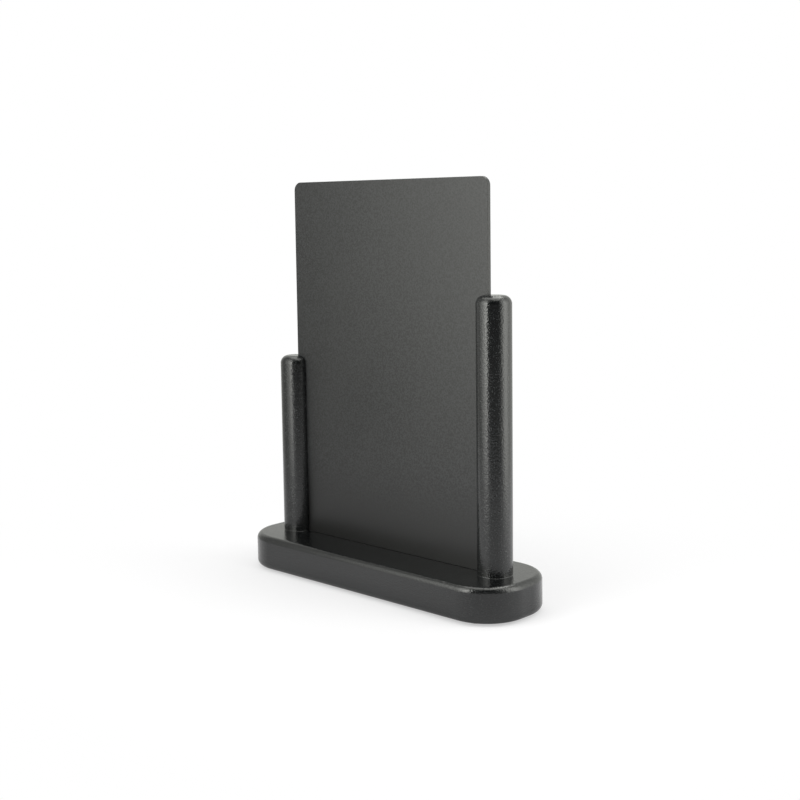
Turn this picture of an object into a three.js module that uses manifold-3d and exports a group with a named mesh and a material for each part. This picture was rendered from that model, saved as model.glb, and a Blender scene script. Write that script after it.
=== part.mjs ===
// A tabletop chalkboard. Two round posts of unequal height stand on a thick base with rounded ends.
// A thin writing panel slides down into a groove in each post and stands on the base.
// Millimetres, +Z up, X along the base, the writing faces towards -Y and +Y.
// The origin is on the table, at the middle of the footprint.

import * as THREE from "three";
import { mergeVertices, toCreasedNormals } from "three/addons/utils/BufferGeometryUtils.js";
import Module from "manifold-3d";

// Writing panel: a standard A4 sheet with rounded corners
const panelWidth = 210;
const panelHeight = 297;
const panelThickness = 3.2;
const panelCornerRadius = 7;
const panelEdgeRound = 0.25;

// Posts
const postDiameter = 27;
const tallPostHeight = 210;
const shortPostHeight = 151;
const postTopRound = 6.5;
const postFootChamfer = 0.3;
const postAxisOutset = 3.8; // from the panel's side edge out to the post's axis

// Groove that runs the whole height of each post and takes the panel's side edge
const grooveFaceClearance = 0.25; // on each face of the panel
const grooveEdgeClearance = 0.5; // past the panel's side edge

// Base
const baseEndMargin = 31.2; // from a post's axis to the end of the base
const baseWidth = 82;
const baseThickness = 28;
const baseCornerRadius = 35.5;
const baseTopRound = 5;
const baseBottomRound = 5;

// Joint between a post and the base: a turned spigot glued into a blind socket
const spigotShoulder = 5.5; // ring of the post's foot that bears on the base
const spigotTipChamfer = 1;
const socketFloor = 12; // wood left under the socket
const socketSideClearance = 0.2;
const socketEndClearance = 0.6;

// Countersunk wood screw, driven from beneath up the axis of each post
const screwDiameter = 3.5;
const screwLength = 35;
const screwHeadDiameter = 7;
const screwHeadRim = 0.4;
const screwHeadSink = 0.8; // how deep the head lies below the underside of the base
const screwPointLength = 5;
const screwPointFlat = 0.3; // radius of the blunt tip
const screwHoleClearance = 0.2;
const driveSlotWidth = 1;
const driveSlotSpan = 3.8;
const driveSlotDepth = 1.5;

// Foot pads stuck under the base
const padDiameter = 14;
const padThickness = 1.5;
const padEdgeRound = 0.3;
const padEndInset = 28.5; // from the end of the base to the middle of a pad
const padSideInset = 16; // from the side of the base to the middle of a pad

// Facets
const roundSegments = 72;
const smallRoundSegments = 32;
const baseCornerSegments = 20;
const panelCornerSegments = 8;
const baseEdgeSegments = 6;
const postTopSegments = 8;
const smallEdgeSegments = 2;
const creaseAngle = Math.PI / 6;
const cutOverrun = 5; // how far a cutter runs past the face that it opens

// Sizes that follow from the ones above
const postRadius = postDiameter / 2;
const postSpacing = panelWidth + 2 * postAxisOutset;
const baseLength = postSpacing + 2 * baseEndMargin;
const baseTop = padThickness + baseThickness;
const grooveWidth = panelThickness + 2 * grooveFaceClearance;
const grooveFloor = postAxisOutset - grooveEdgeClearance; // from the post's axis to the groove's floor
const spigotRadius = postRadius - spigotShoulder;
const socketDepth = baseThickness - socketFloor;
const spigotLength = socketDepth - socketEndClearance;
const screwRadius = screwDiameter / 2;
const screwHeadRadius = screwHeadDiameter / 2;
const screwHeadHeight = screwHeadRim + screwHeadRadius - screwRadius; // a 90 degree countersink

const blackLacquer = { color: 0x191a19, roughness: 0.22, metalness: 0 };
const chalkboardCoating = { color: 0x2e2e2c, roughness: 0.55, metalness: 0 };
const zincPlatedSteel = { color: 0xb4b6b8, roughness: 0.35, metalness: 0.9 };
const blackFoam = { color: 0x1d1d1d, roughness: 0.95, metalness: 0 };

const wasm = await Module();
wasm.setup();

// A closed three.js geometry as a solid that can be joined and cut.
function toSolid(geometry) {
  const bare = geometry.clone();
  bare.deleteAttribute("normal");
  bare.deleteAttribute("uv");
  const merged = mergeVertices(bare, 1e-4);
  return new wasm.Manifold(
    new wasm.Mesh({
      numProp: 3,
      vertProperties: new Float32Array(merged.attributes.position.array),
      triVerts: new Uint32Array(merged.index.array),
    }),
  );
}

function toGeometry(solid) {
  const mesh = solid.getMesh();
  const geometry = new THREE.BufferGeometry();
  geometry.setAttribute("position", new THREE.BufferAttribute(mesh.vertProperties, 3));
  geometry.setIndex(new THREE.BufferAttribute(mesh.triVerts, 1));
  return toCreasedNormals(geometry, creaseAngle);
}

// The body with every cutter taken away.
function cut(bodyGeometry, cutters) {
  let solid = toSolid(bodyGeometry);
  for (const cutter of cutters) {
    solid = solid.subtract(toSolid(cutter));
  }
  return toGeometry(solid);
}

// Points on a quarter circle: angle 0 gives (0, 0), the last one gives (radius, radius).
function quarterRound(radius, segments) {
  return Array.from({ length: segments + 1 }, (_, i) => {
    const angle = (i / segments) * (Math.PI / 2);
    return { across: radius * (1 - Math.cos(angle)), along: radius * Math.sin(angle) };
  });
}

// A rounded rectangle about the origin, drawn in from its full size by an inset, anticlockwise.
function roundedRectangle(length, width, cornerRadius, inset, cornerSegments) {
  const radius = Math.min(cornerRadius, length / 2, width / 2);
  const centreX = length / 2 - radius;
  const centreY = width / 2 - radius;
  const corners = [[1, 1], [-1, 1], [-1, -1], [1, -1]];
  return corners.flatMap(([sideX, sideY], corner) =>
    Array.from({ length: cornerSegments + 1 }, (_, i) => {
      const angle = (corner + i / cornerSegments) * (Math.PI / 2);
      return new THREE.Vector2(
        sideX * centreX + (radius - inset) * Math.cos(angle),
        sideY * centreY + (radius - inset) * Math.sin(angle),
      );
    }),
  );
}

// A flat plate with a rounded outline and rounded edges, its lower face on z = 0.
function roundedPlate({ length, width, thickness, cornerRadius, bottomRound, topRound }, segments) {
  const bottom = quarterRound(bottomRound, segments.edge);
  const top = quarterRound(topRound, segments.edge);
  const levels = [
    ...bottom.map((p) => ({ inset: bottomRound - p.along, z: p.across })),
    ...top.map((p) => ({ inset: p.across, z: thickness - topRound + p.along })),
  ];
  const rings = levels.map((level) =>
    roundedRectangle(length, width, cornerRadius, level.inset, segments.corner),
  );
  const count = rings[0].length;
  const positions = [0, 0, 0, 0, 0, thickness];
  rings.forEach((ring, i) => ring.forEach((p) => positions.push(p.x, p.y, levels[i].z)));
  const at = (ring, i) => 2 + ring * count + (i % count);
  const last = rings.length - 1;
  const faces = [];
  for (let i = 0; i < count; i += 1) {
    faces.push(0, at(0, i + 1), at(0, i));
    faces.push(1, at(last, i), at(last, i + 1));
    for (let ring = 0; ring < last; ring += 1) {
      faces.push(at(ring, i), at(ring, i + 1), at(ring + 1, i + 1));
      faces.push(at(ring, i), at(ring + 1, i + 1), at(ring + 1, i));
    }
  }
  const geometry = new THREE.BufferGeometry();
  geometry.setAttribute("position", new THREE.Float32BufferAttribute(positions, 3));
  geometry.setIndex(faces);
  return toCreasedNormals(geometry, creaseAngle);
}

// A turned solid about Z from [radius, z] pairs that start and end on the axis, going up.
function turned(profile, segments) {
  const points = profile.map(([radius, z]) => new THREE.Vector2(radius, z));
  return new THREE.LatheGeometry(points, segments).rotateX(Math.PI / 2);
}

// The clearance hole and countersink of a screw, about its axis, from the head's face upwards.
function screwHole(topZ) {
  const headHole = screwHeadRadius + screwHoleClearance;
  const shankHole = screwRadius + screwHoleClearance;
  const profile = [
    [0, -screwHeadSink - cutOverrun],
    [headHole, -screwHeadSink - cutOverrun],
    [headHole, screwHeadRim],
    [shankHole, screwHeadRim + headHole - shankHole],
    [shankHole, topZ],
    [0, topZ],
  ];
  return turned(profile, smallRoundSegments);
}

// Base plank: local z = 0 is its underside.
function baseGeometry() {
  const plank = roundedPlate(
    {
      length: baseLength,
      width: baseWidth,
      thickness: baseThickness,
      cornerRadius: baseCornerRadius,
      bottomRound: baseBottomRound,
      topRound: baseTopRound,
    },
    { edge: baseEdgeSegments, corner: baseCornerSegments },
  );
  const socketRadius = spigotRadius + socketSideClearance;
  const socketProfile = [
    [0, socketFloor],
    [socketRadius, socketFloor],
    [socketRadius, baseThickness + cutOverrun],
    [0, baseThickness + cutOverrun],
  ];
  const cutters = [-1, 1].flatMap((side) => [
    turned(socketProfile, roundSegments).translate((side * postSpacing) / 2, 0, 0),
    screwHole(socketFloor + cutOverrun).translate((side * postSpacing) / 2, 0, screwHeadSink),
  ]);
  return cut(plank, cutters);
}

// Post about its own axis: local z = 0 is the foot that bears on the base, the groove faces -X.
function postGeometry(height) {
  const topRound = quarterRound(postTopRound, postTopSegments);
  const profile = [
    [0, -spigotLength],
    [spigotRadius - spigotTipChamfer, -spigotLength],
    [spigotRadius, -spigotLength + spigotTipChamfer],
    [spigotRadius, 0],
    [postRadius - postFootChamfer, 0],
    [postRadius, postFootChamfer],
    ...topRound.map((p) => [postRadius - p.across, height - postTopRound + p.along]),
    [0, height],
  ];
  const body = turned(profile, roundSegments);
  const grooveDepth = postRadius + cutOverrun - grooveFloor;
  const grooveHeight = height + cutOverrun;
  const groove = new THREE.BoxGeometry(grooveDepth, grooveWidth, grooveHeight);
  groove.translate(-grooveFloor - grooveDepth / 2, 0, grooveHeight / 2);
  const boreRadius = screwRadius + screwHoleClearance;
  const boreTop = screwHeadSink + screwLength - baseThickness + screwHoleClearance;
  const boreProfile = [
    [0, -spigotLength - cutOverrun],
    [boreRadius, -spigotLength - cutOverrun],
    [boreRadius, boreTop],
    [0, boreTop],
  ];
  return cut(body, [groove, turned(boreProfile, smallRoundSegments)]);
}

// Wood screw about Z: local z = 0 is the face of its head, the point is up.
function screwGeometry() {
  const profile = [
    [0, 0],
    [screwHeadRadius, 0],
    [screwHeadRadius, screwHeadRim],
    [screwRadius, screwHeadHeight],
    [screwRadius, screwLength - screwPointLength],
    [screwPointFlat, screwLength],
    [0, screwLength],
  ];
  const slots = [[driveSlotSpan, driveSlotWidth], [driveSlotWidth, driveSlotSpan]];
  const cutters = slots.map(([sizeX, sizeY]) =>
    new THREE.BoxGeometry(sizeX, sizeY, 2 * driveSlotDepth),
  );
  return cut(turned(profile, smallRoundSegments), cutters);
}

// Writing panel standing up: local origin at the middle of its lower edge.
function panelGeometry() {
  const plate = roundedPlate(
    {
      length: panelWidth,
      width: panelHeight,
      thickness: panelThickness,
      cornerRadius: panelCornerRadius,
      bottomRound: panelEdgeRound,
      topRound: panelEdgeRound,
    },
    { edge: smallEdgeSegments, corner: panelCornerSegments },
  );
  return plate
    .translate(0, 0, -panelThickness / 2)
    .rotateX(Math.PI / 2)
    .translate(0, 0, panelHeight / 2);
}

// Foot pad: local z = 0 is the face on the table.
function padGeometry() {
  const radius = padDiameter / 2;
  const edge = quarterRound(padEdgeRound, smallEdgeSegments);
  const profile = [
    [0, 0],
    ...edge.map((p) => [radius - padEdgeRound + p.along, p.across]),
    [radius, padThickness],
    [0, padThickness],
  ];
  return turned(profile, smallRoundSegments);
}

function namedMesh(name, geometry, look) {
  const mesh = new THREE.Mesh(geometry, new THREE.MeshStandardMaterial(look));
  mesh.name = name;
  return mesh;
}

// A post and the screw that holds it, about the post's axis with z = 0 on top of the base.
function postAssembly(name, height) {
  const group = new THREE.Group();
  const screw = namedMesh(`${name}_screw`, screwGeometry(), zincPlatedSteel);
  screw.position.z = screwHeadSink - baseThickness;
  group.add(namedMesh(name, postGeometry(height), blackLacquer), screw);
  return group;
}

function footPads() {
  const group = new THREE.Group();
  const ends = [["left", -1], ["right", 1]];
  const sides = [["front", -1], ["back", 1]];
  for (const [endName, end] of ends) {
    for (const [sideName, side] of sides) {
      const pad = namedMesh(`foot_pad_${sideName}_${endName}`, padGeometry(), blackFoam);
      pad.position.x = end * (baseLength / 2 - padEndInset);
      pad.position.y = side * (baseWidth / 2 - padSideInset);
      group.add(pad);
    }
  }
  return group;
}

const chalkboard = new THREE.Group();

const base = namedMesh("base", baseGeometry(), blackLacquer);
base.position.z = padThickness;

const tallPost = postAssembly("tall_post", tallPostHeight);
tallPost.position.set(postSpacing / 2, 0, baseTop);

const shortPost = postAssembly("short_post", shortPostHeight);
shortPost.position.set(-postSpacing / 2, 0, baseTop);
shortPost.rotation.z = Math.PI;

const panel = namedMesh("chalkboard_panel", panelGeometry(), chalkboardCoating);
panel.position.z = baseTop;

chalkboard.add(base, tallPost, shortPost, panel, footPads());

export default chalkboard;
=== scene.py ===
# A tabletop chalkboard: the finish of every piece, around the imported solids.
# Metres, +Z up, X along the base, the writing faces towards -Y and +Y.

import math

import bmesh
import bpy
from mathutils import Matrix, Vector


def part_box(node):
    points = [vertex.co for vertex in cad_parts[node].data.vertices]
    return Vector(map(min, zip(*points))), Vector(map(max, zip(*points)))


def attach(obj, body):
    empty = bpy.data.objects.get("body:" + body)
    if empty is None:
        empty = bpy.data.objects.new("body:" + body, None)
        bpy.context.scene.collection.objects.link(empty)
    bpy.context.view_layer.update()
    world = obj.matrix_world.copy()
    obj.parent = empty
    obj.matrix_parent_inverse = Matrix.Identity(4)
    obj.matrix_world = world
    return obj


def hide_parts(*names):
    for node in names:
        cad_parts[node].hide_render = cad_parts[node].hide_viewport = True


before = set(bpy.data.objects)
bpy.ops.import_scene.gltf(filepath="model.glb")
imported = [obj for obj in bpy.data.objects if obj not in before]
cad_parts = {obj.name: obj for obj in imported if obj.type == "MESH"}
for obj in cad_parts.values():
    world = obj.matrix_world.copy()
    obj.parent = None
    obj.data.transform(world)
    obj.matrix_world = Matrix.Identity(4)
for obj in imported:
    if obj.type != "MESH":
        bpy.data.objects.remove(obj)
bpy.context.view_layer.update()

MM = 0.001


# Sizes

def node_box(name):
    low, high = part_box(name)
    return low, high, (low + high) / 2, high - low


base_low, base_high, base_centre, base_size = node_box("base")
panel_low, panel_high, panel_centre, panel_size = node_box("chalkboard_panel")

BASE_CORNER_RADIUS = 35.5 * MM
BASE_TOP_ROUND = 5 * MM
BASE_BOTTOM_ROUND = 5 * MM

POST_TOP_ROUND = 6.5 * MM
LACQUER_FILLET = 0.45 * MM  # where the last coat has run into the corner between post and base
FILLET_RIM_SHARE = 0.06  # height of the fillet's thin outer rim
GROOVE_FACE_CLEARANCE = 0.25 * MM
GROOVE_EDGE_CLEARANCE = 0.5 * MM
GROOVE_ARRIS = 0.15 * MM  # the groove's long edges, eased before lacquering
GROOVE_MOUTH = 0.2 * MM  # how far the groove widens at the top of the post

SPIGOT_RADIUS = 8 * MM
SPIGOT_CHAMFER = 1 * MM
SOCKET_CLEARANCE = 0.2 * MM
SOCKET_END_CLEARANCE = 0.6 * MM
PILOT_RADIUS = 1.95 * MM
PILOT_END_CLEARANCE = 0.2 * MM

PANEL_CORNER_RADIUS = 7 * MM
PANEL_EDGE_ROUND = 0.25 * MM
PAINTED_SHADE_HEIGHT = 75 * MM  # above the panel's foot, up to which the coating is coloured darker as painted shade
PAINTED_SHADE_BLACK_HEIGHT = 15 * MM

SCREW_HEAD_RIM = 0.4 * MM
SCREW_SHANK_RADIUS = 1.7 * MM
SCREW_CORE_RADIUS = 1.2 * MM
SCREW_THREAD_RADIUS = 1.75 * MM
SCREW_PITCH = 1.6 * MM
SCREW_PLAIN_LENGTH = 11 * MM  # from the head's face to the first turn of the thread
SCREW_POINT_LENGTH = 5 * MM
SCREW_TIP_RADIUS = 0.12 * MM
SCREW_TIP_SHARE = 0.12  # of the full radius, at the tip
SCREW_RIDGE_SLOPE = 4.4  # the thread's ridge fills 2 / 4.4 of the pitch
SCREW_RIDGE_POWER = 0.8
SCREW_HOLE_CLEARANCE = 0.2 * MM
RECESS_SPAN = 3.8 * MM
RECESS_WIDTH = 0.95 * MM
RECESS_DEPTH = 1.7 * MM
RECESS_MOUTH_SHARE = 1.05  # of span and width, just outside the head
RECESS_FLOOR_SHARE = 0.55
RECESS_OVERLAP = 0.2 * MM

PAD_EDGE_ROUND = 0.3 * MM
PAD_BULGE = 0.12 * MM  # how far the pad's wall stands in from its box, above and below its middle

CUT_OVERLAP = 5 * MM  # how far a cutting solid reaches past what it cuts

base_top = base_high.z
groove_half_width = panel_size.y / 2 + GROOVE_FACE_CLEARANCE


# Meshes

def circle_arc(radius, start, stop, steps):
    angles = [start + (stop - start) * i / steps for i in range(steps + 1)]
    return [(radius * math.cos(a), radius * math.sin(a)) for a in angles]


def quarter_round(radius, steps):
    """From (0, 0) to (radius, radius): how far in, and how far up, along a rounded edge."""
    angles = [math.pi / 2 * i / steps for i in range(steps + 1)]
    return [(radius * (1 - math.cos(a)), radius * math.sin(a)) for a in angles]


def closed_mesh(name, vertices, faces):
    mesh = bpy.data.meshes.new(name)
    mesh.from_pydata(vertices, [], faces)
    shape = bmesh.new()
    shape.from_mesh(mesh)
    bmesh.ops.recalc_face_normals(shape, faces=shape.faces)
    shape.to_mesh(mesh)
    shape.free()
    piece = bpy.data.objects.new(name, mesh)
    bpy.context.scene.collection.objects.link(piece)
    return piece


def lofted(name, rings):
    """A closed solid through rings that have as many points each, from the lowest to the highest."""
    count = len(rings[0])
    vertices = [point for ring in rings for point in ring]
    faces = [tuple(range(count)), tuple(range(len(vertices) - count, len(vertices)))]
    for level in range(len(rings) - 1):
        for i in range(count):
            low, low_next = level * count + i, level * count + (i + 1) % count
            faces.append((low, low_next, low_next + count, low + count))
    return closed_mesh(name, vertices, faces)


def turned(name, profile, centre, steps):
    """A closed solid of revolution about Z through (radius, z) pairs, with a flat face at each end."""
    rings = [
        [(centre.x + x, centre.y + y, z) for x, y in circle_arc(radius, 0, 2 * math.pi, steps)[:-1]]
        for radius, z in profile
    ]
    return lofted(name, rings)


def apply_modifiers(piece):
    evaluated = piece.evaluated_get(bpy.context.evaluated_depsgraph_get())
    mesh = bpy.data.meshes.new_from_object(evaluated)
    piece.modifiers.clear()
    piece.data = mesh


def combine(piece, other, operation):
    """Cuts the other solid from the piece, or joins it on, and removes it."""
    step = piece.modifiers.new(operation.lower(), "BOOLEAN")
    step.operation = operation
    step.solver = "EXACT"
    step.object = other
    apply_modifiers(piece)
    bpy.data.objects.remove(other)


def smooth(piece, crease=30):
    """Smooth shading, flat on flat faces and sharp at edges over the crease angle, in degrees."""
    piece.data.shade_smooth()
    piece.data.set_sharp_from_angle(angle=math.radians(crease))
    step = piece.modifiers.new("flat_faces", "WEIGHTED_NORMAL")
    step.keep_sharp = True
    step.weight = 100
    apply_modifiers(piece)


def finish_piece(piece, material, body, node):
    piece.data.materials.clear()
    piece.data.materials.append(material)
    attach(piece, body)
    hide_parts(node)


# Pieces

def rounded_rectangle(length, width, radius, inset, corner_steps):
    """A rounded rectangle about the origin, drawn in by the inset, anticlockwise."""
    points = []
    for corner, (side_x, side_y) in enumerate([(1, 1), (-1, 1), (-1, -1), (1, -1)]):
        start = corner * math.pi / 2
        centre_x, centre_y = side_x * (length / 2 - radius), side_y * (width / 2 - radius)
        for x, y in circle_arc(radius - inset, start, start + math.pi / 2, corner_steps):
            points.append((centre_x + x, centre_y + y))
    return points


def rounded_plate(name, size, corner_radius, bottom_round, top_round, corner_steps, edge_steps, place):
    """A plate with rounded corners and edges. place takes (x, y, z) of the lying plate to the frame."""
    bottom = [(bottom_round - up, inset) for inset, up in quarter_round(bottom_round, edge_steps)]
    top = [(inset, size[2] - top_round + up) for inset, up in quarter_round(top_round, edge_steps)]
    rings = []
    for inset, z in bottom + top:
        outline = rounded_rectangle(size[0], size[1], corner_radius, inset, corner_steps)
        rings.append([place(x, y, z) for x, y in outline])
    return lofted(name, rings)


def make_base(posts, screws):
    base = rounded_plate(
        "base_plank",
        base_size,
        BASE_CORNER_RADIUS,
        BASE_BOTTOM_ROUND,
        BASE_TOP_ROUND,
        corner_steps=48,
        edge_steps=12,
        place=lambda x, y, z: (base_centre.x + x, base_centre.y + y, base_low.z + z),
    )
    for post, screw in zip(posts, screws):
        socket_radius = SPIGOT_RADIUS + SOCKET_CLEARANCE
        socket_floor = post["low"] - SOCKET_END_CLEARANCE
        socket = [(socket_radius, socket_floor), (socket_radius, base_top + CUT_OVERLAP)]
        combine(base, turned("socket", socket, post["axis"], steps=96), "DIFFERENCE")
        head_hole = screw["head_radius"] + SCREW_HOLE_CLEARANCE
        shank_hole = SCREW_THREAD_RADIUS + SCREW_HOLE_CLEARANCE
        rim_z = screw["low"] + SCREW_HEAD_RIM
        hole = [
            (head_hole, base_low.z - CUT_OVERLAP),
            (head_hole, rim_z),
            (shank_hole, rim_z + head_hole - shank_hole),
            (shank_hole, socket_floor + CUT_OVERLAP),
        ]
        combine(base, turned("screw_hole", hole, post["axis"], steps=64), "DIFFERENCE")
    smooth(base)
    return base


def post_outline(radius, half_width, floor, arris_steps=4, arc_steps=120):
    """Section of a post about its axis, anticlockwise: a circle with an eased groove open to +X."""
    centre_y = half_width + GROOVE_ARRIS
    centre_x = math.sqrt((radius - GROOVE_ARRIS) ** 2 - centre_y**2)
    meet = math.atan2(centre_y, centre_x)
    arris = [
        (centre_x + x, centre_y + y)
        for x, y in circle_arc(GROOVE_ARRIS, -math.pi / 2, meet, arris_steps)
    ]
    round_side = circle_arc(radius, meet, 2 * math.pi - meet, arc_steps)[1:-1]
    lower_arris = [(x, -y) for x, y in reversed(arris)]
    return arris + round_side + lower_arris + [(floor, -half_width), (floor, half_width)]


def make_post(name, post, screw, fillet_steps=5, round_steps=16):
    """Each level is a height, the post's radius there, and how far the groove has widened."""
    axis, side, radius = post["axis"], post["side"], post["radius"]
    levels = [(base_top, radius + LACQUER_FILLET, 0)]
    fillet_start = base_top + LACQUER_FILLET * FILLET_RIM_SHARE
    for inset, up in quarter_round(LACQUER_FILLET, fillet_steps):
        levels.append((fillet_start + inset, radius + LACQUER_FILLET - up, 0))
    round_start = post["top"] - POST_TOP_ROUND
    for inset, up in quarter_round(POST_TOP_ROUND, round_steps):
        past_mouth = max(0, up - POST_TOP_ROUND + GROOVE_MOUTH)
        widened = GROOVE_MOUTH - math.sqrt(max(0, GROOVE_MOUTH**2 - past_mouth**2))
        levels.append((round_start + up, radius - inset, widened))
    rings = []
    for z, ring_radius, widened in levels:
        outline = post_outline(ring_radius, groove_half_width + widened, post["groove_floor"] - widened)
        rings.append([(axis.x + side * x, axis.y + side * y, z) for x, y in outline])
    piece = lofted(name, rings)
    spigot = [
        (SPIGOT_RADIUS - SPIGOT_CHAMFER, post["low"]),
        (SPIGOT_RADIUS, post["low"] + SPIGOT_CHAMFER),
        (SPIGOT_RADIUS, base_top),
    ]
    combine(piece, turned("spigot", spigot, axis, steps=96), "UNION")
    pilot = [
        (PILOT_RADIUS, post["low"] - CUT_OVERLAP),
        (PILOT_RADIUS, screw["high"] + PILOT_END_CLEARANCE),
    ]
    combine(piece, turned("pilot", pilot, axis, steps=48), "DIFFERENCE")
    smooth(piece)
    return piece


def make_panel():
    def stood_up(x, y, z):
        return panel_centre.x + x, panel_high.y - z, panel_centre.z + y

    panel = rounded_plate(
        "writing_panel",
        (panel_size.x, panel_size.z, panel_size.y),
        PANEL_CORNER_RADIUS,
        PANEL_EDGE_ROUND,
        PANEL_EDGE_ROUND,
        corner_steps=24,
        edge_steps=6,
        place=stood_up,
    )
    smooth(panel)
    return panel


def thread_radius(z, angle, screw):
    """Radius of the screw at a height and an angle: plain shank, thread, then the point."""
    above_face = z - screw["low"]
    from_tip = screw["high"] - z
    head = screw["head_radius"] - max(0, above_face - SCREW_HEAD_RIM)
    if head > SCREW_SHANK_RADIUS:
        return head
    if above_face < SCREW_PLAIN_LENGTH:
        return SCREW_SHANK_RADIUS
    turn = (above_face / SCREW_PITCH - angle / (2 * math.pi)) % 1
    ridge = max(0, 1 - abs(turn - 0.5) * SCREW_RIDGE_SLOPE) ** SCREW_RIDGE_POWER
    grow = min(1, (above_face - SCREW_PLAIN_LENGTH) / SCREW_PITCH)
    core = SCREW_CORE_RADIUS + (SCREW_SHANK_RADIUS - SCREW_CORE_RADIUS) * (1 - grow)
    radius = core + (SCREW_THREAD_RADIUS - core) * ridge
    point = SCREW_TIP_SHARE + (1 - SCREW_TIP_SHARE) * from_tip / SCREW_POINT_LENGTH
    return max(SCREW_TIP_RADIUS, radius * min(1, point))


def make_screw(name, screw, around=40, pitch_steps=10):
    axis = screw["axis"]
    head_end = screw["low"] + SCREW_HEAD_RIM + screw["head_radius"] - SCREW_SHANK_RADIUS
    thread_start = screw["low"] + SCREW_PLAIN_LENGTH
    count = math.ceil((screw["high"] - thread_start) / SCREW_PITCH * pitch_steps)
    heights = [screw["low"], screw["low"] + SCREW_HEAD_RIM, head_end]
    heights += [thread_start + (screw["high"] - thread_start) * i / count for i in range(count + 1)]
    rings = []
    for z in heights:
        ring = []
        for i in range(around):
            angle = 2 * math.pi * i / around
            radius = thread_radius(z, angle, screw)
            ring.append((axis.x + radius * math.cos(angle), axis.y + radius * math.sin(angle), z))
        rings.append(ring)
    piece = lofted(name, rings)
    sections = [
        (screw["low"] - RECESS_OVERLAP, RECESS_MOUTH_SHARE),
        (screw["low"] + RECESS_DEPTH, RECESS_FLOOR_SHARE),
    ]
    for turn in (0, math.pi / 2):
        wing = []
        for z, share in sections:
            corners = [
                Matrix.Rotation(turn, 2) @ Vector((x * RECESS_SPAN / 2, y * RECESS_WIDTH / 2)) * share
                for x, y in ((1, 1), (-1, 1), (-1, -1), (1, -1))
            ]
            wing.append([(axis.x + corner.x, axis.y + corner.y, z) for corner in corners])
        combine(piece, lofted("recess", wing), "DIFFERENCE")
    smooth(piece)
    return piece


def make_pad(name, node, round_steps=5):
    low, high, centre, size = node_box(node)
    radius = size.x / 2
    wall = radius - PAD_BULGE
    edge = quarter_round(PAD_EDGE_ROUND, round_steps)
    lower = [(wall - PAD_EDGE_ROUND + up, low.z + inset) for inset, up in edge]
    upper = [(wall - inset, high.z - PAD_EDGE_ROUND + up) for inset, up in edge]
    piece = turned(name, lower + [(radius, centre.z)] + upper, centre, steps=72)
    smooth(piece, crease=40)
    return piece


# Materials

class Material:
    """A procedural material on one principled shader, with short calls for its nodes."""

    def __init__(self, name):
        self.data = bpy.data.materials.new(name)
        self.data.use_nodes = True
        tree = self.data.node_tree
        tree.nodes.clear()
        self.tree = tree
        self.output = tree.nodes.new("ShaderNodeOutputMaterial")
        self.shader = tree.nodes.new("ShaderNodeBsdfPrincipled")
        self.surface(self.shader.outputs["BSDF"])
        self.place = tree.nodes.new("ShaderNodeTexCoord").outputs["Object"]
        self.geometry = tree.nodes.new("ShaderNodeNewGeometry")

    def surface(self, shader):
        self.tree.links.new(shader, self.output.inputs["Surface"])

    def blend(self, factor, a, b):
        node = self.tree.nodes.new("ShaderNodeMixShader")
        self.put(node.inputs[0], factor)
        self.put(node.inputs[1], a)
        self.put(node.inputs[2], b)
        return node.outputs["Shader"]

    def put(self, socket, value):
        if isinstance(value, bpy.types.NodeSocket):
            self.tree.links.new(value, socket)
        else:
            socket.default_value = value

    def set(self, name, value):
        self.put(self.shader.inputs[name], value)

    def stretched(self, scale):
        """Object coordinates in metres, times a scale for each axis."""
        node = self.tree.nodes.new("ShaderNodeVectorMath")
        node.operation = "MULTIPLY"
        self.put(node.inputs[0], self.place)
        node.inputs[1].default_value = scale
        return node.outputs["Vector"]

    def height(self):
        """Height in object coordinates, in metres."""
        node = self.tree.nodes.new("ShaderNodeSeparateXYZ")
        self.put(node.inputs[0], self.place)
        return node.outputs["Z"]

    def noise(self, vector, detail=2.0, roughness=0.5):
        node = self.tree.nodes.new("ShaderNodeTexNoise")
        self.put(node.inputs["Vector"], vector)
        node.inputs["Scale"].default_value = 1
        node.inputs["Detail"].default_value = detail
        node.inputs["Roughness"].default_value = roughness
        return node.outputs["Factor" if "Factor" in node.outputs else "Fac"]

    def cells(self, vector):
        node = self.tree.nodes.new("ShaderNodeTexVoronoi")
        self.put(node.inputs["Vector"], vector)
        node.inputs["Scale"].default_value = 1
        return node.outputs["Distance"]

    def span(self, value, low, high, to_low=0.0, to_high=1.0, course="SMOOTHSTEP"):
        """Value mapped from low..high to to_low..to_high, smooth at both ends or LINEAR."""
        node = self.tree.nodes.new("ShaderNodeMapRange")
        node.interpolation_type = course
        self.put(node.inputs["Value"], value)
        node.inputs["From Min"].default_value = low
        node.inputs["From Max"].default_value = high
        node.inputs["To Min"].default_value = to_low
        node.inputs["To Max"].default_value = to_high
        return node.outputs["Result"]

    def math(self, operation, a, b=0.0):
        node = self.tree.nodes.new("ShaderNodeMath")
        node.operation = operation
        self.put(node.inputs[0], a)
        self.put(node.inputs[1], b)
        return node.outputs["Value"]

    def mix(self, factor, a, b):
        node = self.tree.nodes.new("ShaderNodeMix")
        node.data_type = "RGBA"
        self.put(node.inputs["Factor"], factor)
        for name, colour in (("A", a), ("B", b)):
            socket = [s for s in node.inputs if s.name == name and s.type == "RGBA"][0]
            self.put(socket, colour if isinstance(colour, bpy.types.NodeSocket) else (*colour, 1))
        return [s for s in node.outputs if s.type == "RGBA"][0]

    def bump(self, height, depth, normal=None):
        """A bump of the height, 0 to 1, over a depth in metres, on top of another normal."""
        node = self.tree.nodes.new("ShaderNodeBump")
        node.inputs["Strength"].default_value = 1
        node.inputs["Distance"].default_value = depth
        self.put(node.inputs["Height"], height)
        if normal is not None:
            self.put(node.inputs["Normal"], normal)
        return node.outputs["Normal"]


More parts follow.
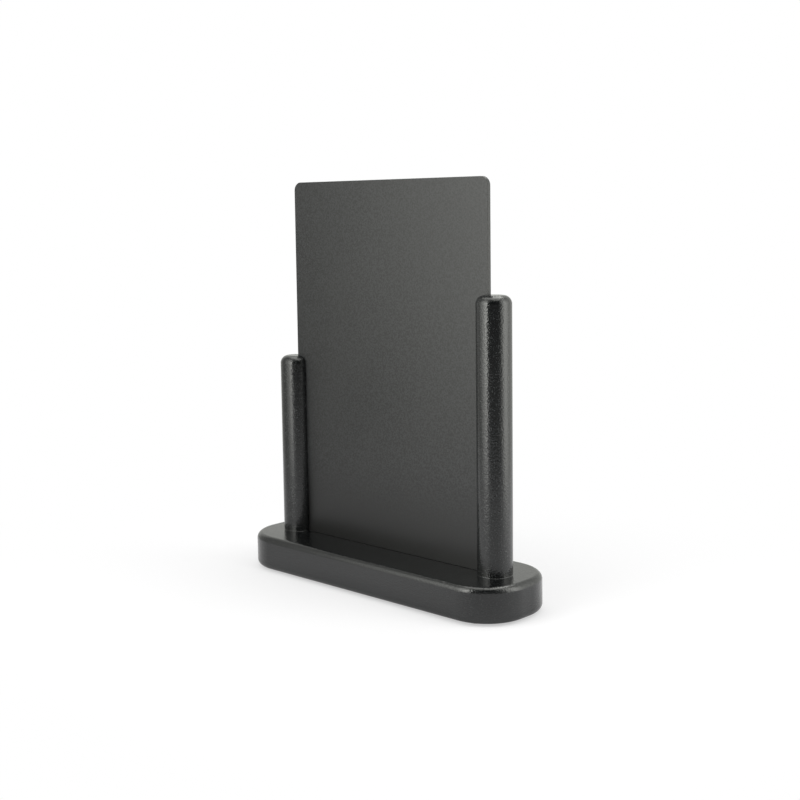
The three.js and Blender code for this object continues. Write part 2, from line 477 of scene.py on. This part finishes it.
def black_lacquer(name, grain, speckled):
    """Gloss lacquer over hardwood.

    grain is the axis of the fibres, 0 for X and 2 for Z, and speckled is from 0 to 1.
    """
    material = Material(name)

    def along_grain(per_metre, stretch):
        scale = [per_metre] * 3
        scale[grain] = per_metre / stretch
        return material.stretched(scale)

    pores = material.noise(along_grain(1000, 1), detail=1)
    specks = material.span(pores, 0.57, 0.74, 0, speckled)
    fibres = material.noise(along_grain(420, 22), detail=3, roughness=0.6)
    peel = material.noise(along_grain(420, 1), detail=1)
    sand = material.noise(along_grain(850, 1), detail=0)
    cloud = material.noise(along_grain(28, 3), detail=3)
    worn = material.span(material.geometry.outputs["Pointiness"], 0.52, 0.6)

    normal = material.bump(peel, 0.05 * MM)
    normal = material.bump(sand, 0.13 * MM, normal)
    normal = material.bump(fibres, 0.008 * MM, normal)
    normal = material.bump(specks, 0.04 * MM, normal)
    material.set("Normal", normal)

    deep, thin = (0.004, 0.0046, 0.0049), (0.006, 0.0066, 0.0067)
    colour = material.mix(material.span(cloud, 0.35, 0.65), deep, thin)
    colour = material.mix(specks, colour, (0.032, 0.035, 0.0352))
    colour = material.mix(material.math("MULTIPLY", worn, 0.35), colour, (0.03, 0.029, 0.027))
    material.set("Base Color", colour)
    uneven = material.math("ADD", cloud, material.math("MULTIPLY", fibres, 0.4))
    material.set("Roughness", material.span(uneven, 0.5, 0.9, 0.16, 0.22))
    material.set("IOR", 1.53)
    return material.data


def chalkboard_coating():
    """Matte chalkboard paint with a fine sandy grain flecked grey with chalk dust, coloured black
    towards its foot as painted shade.
    """
    material = Material("chalkboard_coating")
    sand = material.noise(material.stretched((900,) * 3), detail=2, roughness=0.6)
    coarse = material.noise(material.stretched((420,) * 3), detail=2)
    cloud = material.noise(material.stretched((14, 14, 9)), detail=3, roughness=0.55)
    worn = material.span(material.geometry.outputs["Pointiness"], 0.53, 0.62)
    normal = material.bump(coarse, 0.042 * MM)
    normal = material.bump(sand, 0.045 * MM, normal)
    material.set("Normal", normal)
    black, dusty = (0.0025, 0.0026, 0.0026), (0.0172, 0.018, 0.0186)
    colour = material.mix(material.span(sand, 0.36, 0.64), black, dusty)
    colour = material.mix(material.span(cloud, 0.35, 0.7, 0, 0.2), colour, (0.017, 0.0172, 0.0165))
    # Painted shade: towards the panel's foot, next to the base, the colour is darkened to near black.
    painted_shade_black_z, painted_shade_end_z = panel_low.z + PAINTED_SHADE_BLACK_HEIGHT, panel_low.z + PAINTED_SHADE_HEIGHT
    clear_of_painted_shade = material.span(material.height(), painted_shade_black_z, painted_shade_end_z)
    colour = material.mix(clear_of_painted_shade, (0.0006, 0.0006, 0.0006), colour)
    colour = material.mix(material.math("MULTIPLY", worn, 0.4), colour, (0.13, 0.13, 0.125))
    material.set("Base Color", colour)
    material.set("Roughness", material.span(cloud, 0.3, 0.7, 0.34, 0.39))
    material.set("IOR", 1.5)
    return material.data


def zinc_plated_steel():
    material = Material("zinc_plated_steel")
    scratches = material.noise(material.stretched((1500, 1500, 9000)), detail=3, roughness=0.6)
    tarnish = material.noise(material.stretched((300,) * 3), detail=3)
    material.set("Normal", material.bump(scratches, 0.006 * MM))
    colour = material.mix(material.span(tarnish, 0.35, 0.65), (0.50, 0.51, 0.53), (0.60, 0.585, 0.54))
    material.set("Base Color", colour)
    material.set("Metallic", 1.0)
    material.set("Roughness", material.span(scratches, 0.3, 0.7, 0.24, 0.42))
    return material.data


def black_foam():
    material = Material("black_foam")
    cells = material.cells(material.stretched((2600,) * 3))
    lumps = material.noise(material.stretched((500,) * 3), detail=3)
    normal = material.bump(lumps, 0.04 * MM)
    material.set("Normal", material.bump(cells, 0.05 * MM, normal))
    # Painted shade: the foam is coloured darker at the bottoms of its cells.
    outside_painted_pit_shade = material.span(cells, 0.1, 0.6)
    colour = material.mix(outside_painted_pit_shade, (0.007, 0.007, 0.007), (0.016, 0.016, 0.016))
    rubbed = material.span(lumps, 0.35, 0.7, 0, 0.4)
    material.set("Base Color", material.mix(rubbed, colour, (0.024, 0.024, 0.024)))
    material.set("Roughness", material.span(cells, 0.1, 0.6, 0.95, 0.82))
    return material.data


# The object

def post_facts(post_node, screw_node):
    """Places and sizes of a post and its screw, from their solids and the panel's edge."""
    low, high, centre, size = node_box(post_node)
    side = 1 if centre.x < panel_centre.x else -1
    panel_edge = panel_low.x if side > 0 else panel_high.x
    post = {
        "axis": Vector((centre.x, centre.y)),
        "side": side,
        "radius": size.y / 2,
        "low": low.z,
        "top": high.z,
        "groove_floor": abs(panel_edge - centre.x) - GROOVE_EDGE_CLEARANCE,
    }
    screw_low, screw_high, screw_centre, screw_size = node_box(screw_node)
    screw = {
        "axis": Vector((screw_centre.x, screw_centre.y)),
        "head_radius": screw_size.x / 2,
        "low": screw_low.z,
        "high": screw_high.z,
    }
    return post, screw


tall_post, tall_screw = post_facts("tall_post", "tall_post_screw")
short_post, short_screw = post_facts("short_post", "short_post_screw")

lacquer_on_plank = black_lacquer("black_lacquer_plank", grain=0, speckled=0.45)
lacquer_on_post = black_lacquer("black_lacquer_post", grain=2, speckled=1)
steel = zinc_plated_steel()
foam = black_foam()

base = make_base([tall_post, short_post], [tall_screw, short_screw])
finish_piece(base, lacquer_on_plank, "stand", "base")

for name, post, screw in (("tall", tall_post, tall_screw), ("short", short_post, short_screw)):
    turned_post = make_post(f"{name}_grooved_post", post, screw)
    finish_piece(turned_post, lacquer_on_post, "stand", f"{name}_post")
    wood_screw = make_screw(f"{name}_wood_screw", screw)
    finish_piece(wood_screw, steel, "stand", f"{name}_post_screw")

finish_piece(make_panel(), chalkboard_coating(), "panel", "chalkboard_panel")

for corner in ("front_left", "front_right", "back_left", "back_right"):
    pad = make_pad(f"pad_{corner}", f"foot_pad_{corner}")
    finish_piece(pad, foam, "stand", f"foot_pad_{corner}")


# Camera: it stands where the photograph was taken from

CAMERA_PLACE = Vector((701.48, -726.61, 301.48)) * MM
CAMERA_TURN = 0.7536  # radians round Z from looking along +Y
CAMERA_TILT = 0.1068  # radians down
CAMERA_ROLL = -0.0126
CAMERA_LENS = 57.39  # on a sensor 36 wide
CAMERA_SHIFT = (-0.0073, -0.0650)

camera_data = bpy.data.cameras.new("camera")
camera_data.sensor_width = 36
camera_data.lens = CAMERA_LENS
camera_data.shift_x, camera_data.shift_y = CAMERA_SHIFT
camera = bpy.data.objects.new("camera", camera_data)
bpy.context.scene.collection.objects.link(camera)
turn = Matrix.Rotation(CAMERA_TURN, 4, "Z")
tilt = Matrix.Rotation(math.pi / 2 - CAMERA_TILT, 4, "X")
roll = Matrix.Rotation(CAMERA_ROLL, 4, "Z")
camera.matrix_world = Matrix.Translation(CAMERA_PLACE) @ turn @ tilt @ roll
bpy.context.scene.camera = camera


# Stage: a white floor, and a white tent round the object that opens towards the camera

# Places on the stage are (across, away, up) from the object, as the camera faces it.
TENT_HALF_WIDTH = 0.48
TENT_FRONT = -0.61
TENT_BACK = 0.6
TENT_HEIGHT = 0.95
TENT_COLOUR = (0.99, 1, 0.95)  # white cloth with a faint warm green cast


def glow_at(place, reach, strength, stretch=(1, 1, 1)):
    """A bright patch that fades out over its reach. An axis with a smaller stretch reaches further."""
    return {"at": place, "reach": reach, "strength": strength, "stretch": stretch}


LEFT_WALL_LEVEL = 0.62
LEFT_WALL_GLOWS = [
    glow_at((-TENT_HALF_WIDTH, -0.55, 0.42), 0.66, 5.9, (1, 1, 0.97)),
    glow_at((-TENT_HALF_WIDTH, -0.5, 0.3), 0.2, 3.5, (1, 1, 0.4)),
]
RIGHT_WALL_LEVEL = 0.98
RIGHT_WALL_GLOWS = [
    glow_at((TENT_HALF_WIDTH, -0.24, 0.32), 0.25, 4.4, (1, 1, 0.35)),
    glow_at((TENT_HALF_WIDTH, 0.04, 0.3), 0.3, 0.6, (1, 1, 0.35)),
]
CEILING_LEVEL = 0.8
CEILING_GLOWS = [glow_at((0.28, 0.3, TENT_HEIGHT), 0.92, 5.5)]
BACK_LEVEL = 0.86
OPENING_LEVEL = 0
OPENING_GLOWS = [glow_at((0, TENT_FRONT, 0), 0.4, 0.24, (0, 0, 1))]
FLOOR_LEVEL = 0.93
FLOOR_GLOWS = [
    glow_at((-TENT_HALF_WIDTH, -0.42, 0), 0.33, 2.8),
    glow_at((TENT_HALF_WIDTH, -0.05, 0), 0.41, 0.93),
    glow_at((-0.11, -0.1, 0), 0.16, 0.3),
]
SHADOW_LIGHTENING = 0.5  # of the white that the eye sees further off, mixed into the object's shadow
SHADOW_SPAN = (0.02, 0.3)  # distances off the base over which the floor turns plain white to the eye
REFLECTION_SPAN = (0.003, 0.05)  # and over which it does so in reflections

camera_axes = Matrix.Rotation(CAMERA_TURN, 4, "Z")


def glow_strength(material, level, glows):
    """The level everywhere, and each glow on top, strongest at its place and gone at its reach."""
    total = level
    for glow in glows:
        stretch = Vector(glow["stretch"])
        distance = material.tree.nodes.new("ShaderNodeVectorMath")
        distance.operation = "DISTANCE"
        material.put(distance.inputs[0], material.stretched(stretch))
        distance.inputs[1].default_value = Vector(glow["at"]) * stretch
        away = distance.outputs["Value"]
        spot = material.span(away, 0, glow["reach"], glow["strength"], 0, "LINEAR")
        total = material.math("ADD", spot, total)
    return total


def emission(material, strength, colour=(1, 1, 1)):
    node = material.tree.nodes.new("ShaderNodeEmission")
    node.inputs["Color"].default_value = (*colour, 1)
    material.put(node.inputs["Strength"], strength)
    return node.outputs["Emission"]


def stage_card(name, corners, material):
    card = bpy.data.objects.new(name, bpy.data.meshes.new(name))
    card.data.from_pydata(corners, [], [(0, 1, 2, 3)])
    card.data.materials.append(material.data)
    bpy.context.scene.collection.objects.link(card)
    return card


def tent_side(name, corners, level, glows=()):
    """One side of the tent. Only reflections see it, so the light on the object stays plain."""
    material = Material(name)
    strength = glow_strength(material, level, glows)
    material.surface(emission(material, strength, TENT_COLOUR))
    card = stage_card(name, corners, material)
    card.matrix_world = camera_axes
    card.visible_camera = False
    card.visible_diffuse = False
    card.visible_shadow = False
    card.visible_transmission = False


def upright(start, end):
    """The corners of an upright side between two places on the floor."""
    return [(*start, 0), (*end, 0), (*end, TENT_HEIGHT), (*start, TENT_HEIGHT)]


front_left, front_right = (-TENT_HALF_WIDTH, TENT_FRONT), (TENT_HALF_WIDTH, TENT_FRONT)
back_left, back_right = (-TENT_HALF_WIDTH, TENT_BACK), (TENT_HALF_WIDTH, TENT_BACK)
tent_side("tent_left", upright(front_left, back_left), LEFT_WALL_LEVEL, LEFT_WALL_GLOWS)
tent_side("tent_right", upright(front_right, back_right), RIGHT_WALL_LEVEL, RIGHT_WALL_GLOWS)
tent_side("tent_back", upright(back_left, back_right), BACK_LEVEL)
tent_side("tent_opening", upright(front_left, front_right), OPENING_LEVEL, OPENING_GLOWS)
ceiling = [(*place, TENT_HEIGHT) for place in (front_left, front_right, back_right, back_left)]
tent_side("tent_ceiling", ceiling, CEILING_LEVEL, CEILING_GLOWS)


def distance_off_base(material):
    """How far a place on the floor lies outside the base's outline as seen from above."""
    half_length, half_width = base_size.x / 2, base_size.y / 2
    straight = Vector((half_length - BASE_CORNER_RADIUS, half_width - BASE_CORNER_RADIUS, 0))
    steps = [("ABSOLUTE", None), ("SUBTRACT", straight), ("MAXIMUM", Vector()), ("LENGTH", None)]
    point = material.place
    for operation, other in steps:
        node = material.tree.nodes.new("ShaderNodeVectorMath")
        node.operation = operation
        material.put(node.inputs[0], point)
        if other is not None:
            node.inputs[1].default_value = other
        point = node.outputs["Value" if operation == "LENGTH" else "Vector"]
    return material.math("SUBTRACT", point, BASE_CORNER_RADIUS)


def turned_with_camera(glow):
    return {**glow, "at": camera_axes @ Vector(glow["at"])}


def floor_material():
    """White paper: lit and shadowed by the object, and plain white further off where the eye looks."""
    material = Material("floor_paper")
    fibres = material.noise(material.stretched((900,) * 3), detail=3)
    white = material.mix(material.span(fibres, 0.3, 0.7), (0.93, 0.93, 0.93), (0.95, 0.95, 0.95))
    material.set("Base Color", white)
    material.set("Roughness", 0.9)
    material.set("Specular IOR Level", 0.0)
    off_base = distance_off_base(material)
    path = material.tree.nodes.new("ShaderNodeLightPath")
    seen = material.math("MAXIMUM", path.outputs["Is Camera Ray"], path.outputs["Is Transmission Ray"])
    plain = material.span(off_base, *SHADOW_SPAN, SHADOW_LIGHTENING, 1)
    lit = material.shader.outputs["BSDF"]
    to_the_eye = material.blend(material.math("MULTIPLY", seen, plain), lit, emission(material, 1))
    glows = [turned_with_camera(glow) for glow in FLOOR_GLOWS]
    reflected = emission(material, glow_strength(material, FLOOR_LEVEL, glows))
    far = material.span(off_base, *REFLECTION_SPAN)
    in_reflections = material.math("MULTIPLY", path.outputs["Is Glossy Ray"], far)
    material.surface(material.blend(in_reflections, to_the_eye, reflected))
    return material


HALF_FLOOR = 6
floor_corners = [(x * HALF_FLOOR, y * HALF_FLOOR, 0) for x, y in ((-1, -1), (1, -1), (1, 1), (-1, 1))]
stage_card("floor", floor_corners, floor_material())


# Light

def area_light(name, place, target, size, power):
    lamp_data = bpy.data.lights.new(name, "AREA")
    lamp_data.shape = "RECTANGLE"
    lamp_data.size, lamp_data.size_y = size
    lamp_data.energy = power
    lamp = bpy.data.objects.new(name, lamp_data)
    bpy.context.scene.collection.objects.link(lamp)
    lamp.location = place
    lamp.rotation_mode = "QUATERNION"
    lamp.rotation_quaternion = (Vector(target) - Vector(place)).to_track_quat("-Z", "Y")
    lamp.visible_camera = False
    lamp.visible_glossy = False


LOOK_AT = (0, 0, 0.12)
LEFT_LAMP_PLACE = camera_axes @ Vector((-0.95, -0.55, 0.75))
RIGHT_LAMP_PLACE = camera_axes @ Vector((0.95, -0.45, 0.75))
area_light("left_lamp", LEFT_LAMP_PLACE, LOOK_AT, size=(0.9, 0.9), power=7)
area_light("right_lamp", RIGHT_LAMP_PLACE, LOOK_AT, size=(0.9, 0.9), power=7)
area_light("top_lamp", (0, 0, 1.5), LOOK_AT, size=(1.4, 1.4), power=8)

WORLD_LEVEL = 0.5


def make_world():
    """White to the eye and in reflections, and a plain soft level as light."""
    world = bpy.data.worlds.new("studio")
    bpy.context.scene.world = world
    world.use_nodes = True
    tree = world.node_tree
    tree.nodes.clear()
    output = tree.nodes.new("ShaderNodeOutputWorld")
    background = tree.nodes.new("ShaderNodeBackground")
    background.inputs["Color"].default_value = (1, 1, 1, 1)
    path = tree.nodes.new("ShaderNodeLightPath")
    seen = tree.nodes.new("ShaderNodeMath")
    seen.operation = "MAXIMUM"
    tree.links.new(path.outputs["Is Camera Ray"], seen.inputs[0])
    tree.links.new(path.outputs["Is Glossy Ray"], seen.inputs[1])
    either = tree.nodes.new("ShaderNodeMath")
    either.operation = "MAXIMUM"
    tree.links.new(seen.outputs["Value"], either.inputs[0])
    tree.links.new(path.outputs["Is Transmission Ray"], either.inputs[1])
    level = tree.nodes.new("ShaderNodeMapRange")
    level.inputs["To Min"].default_value = WORLD_LEVEL
    level.inputs["To Max"].default_value = 1
    tree.links.new(either.outputs["Value"], level.inputs["Value"])
    tree.links.new(level.outputs["Result"], background.inputs["Strength"])
    tree.links.new(background.outputs["Background"], output.inputs["Surface"])


make_world()
bpy.context.scene.view_settings.view_transform = "Standard"
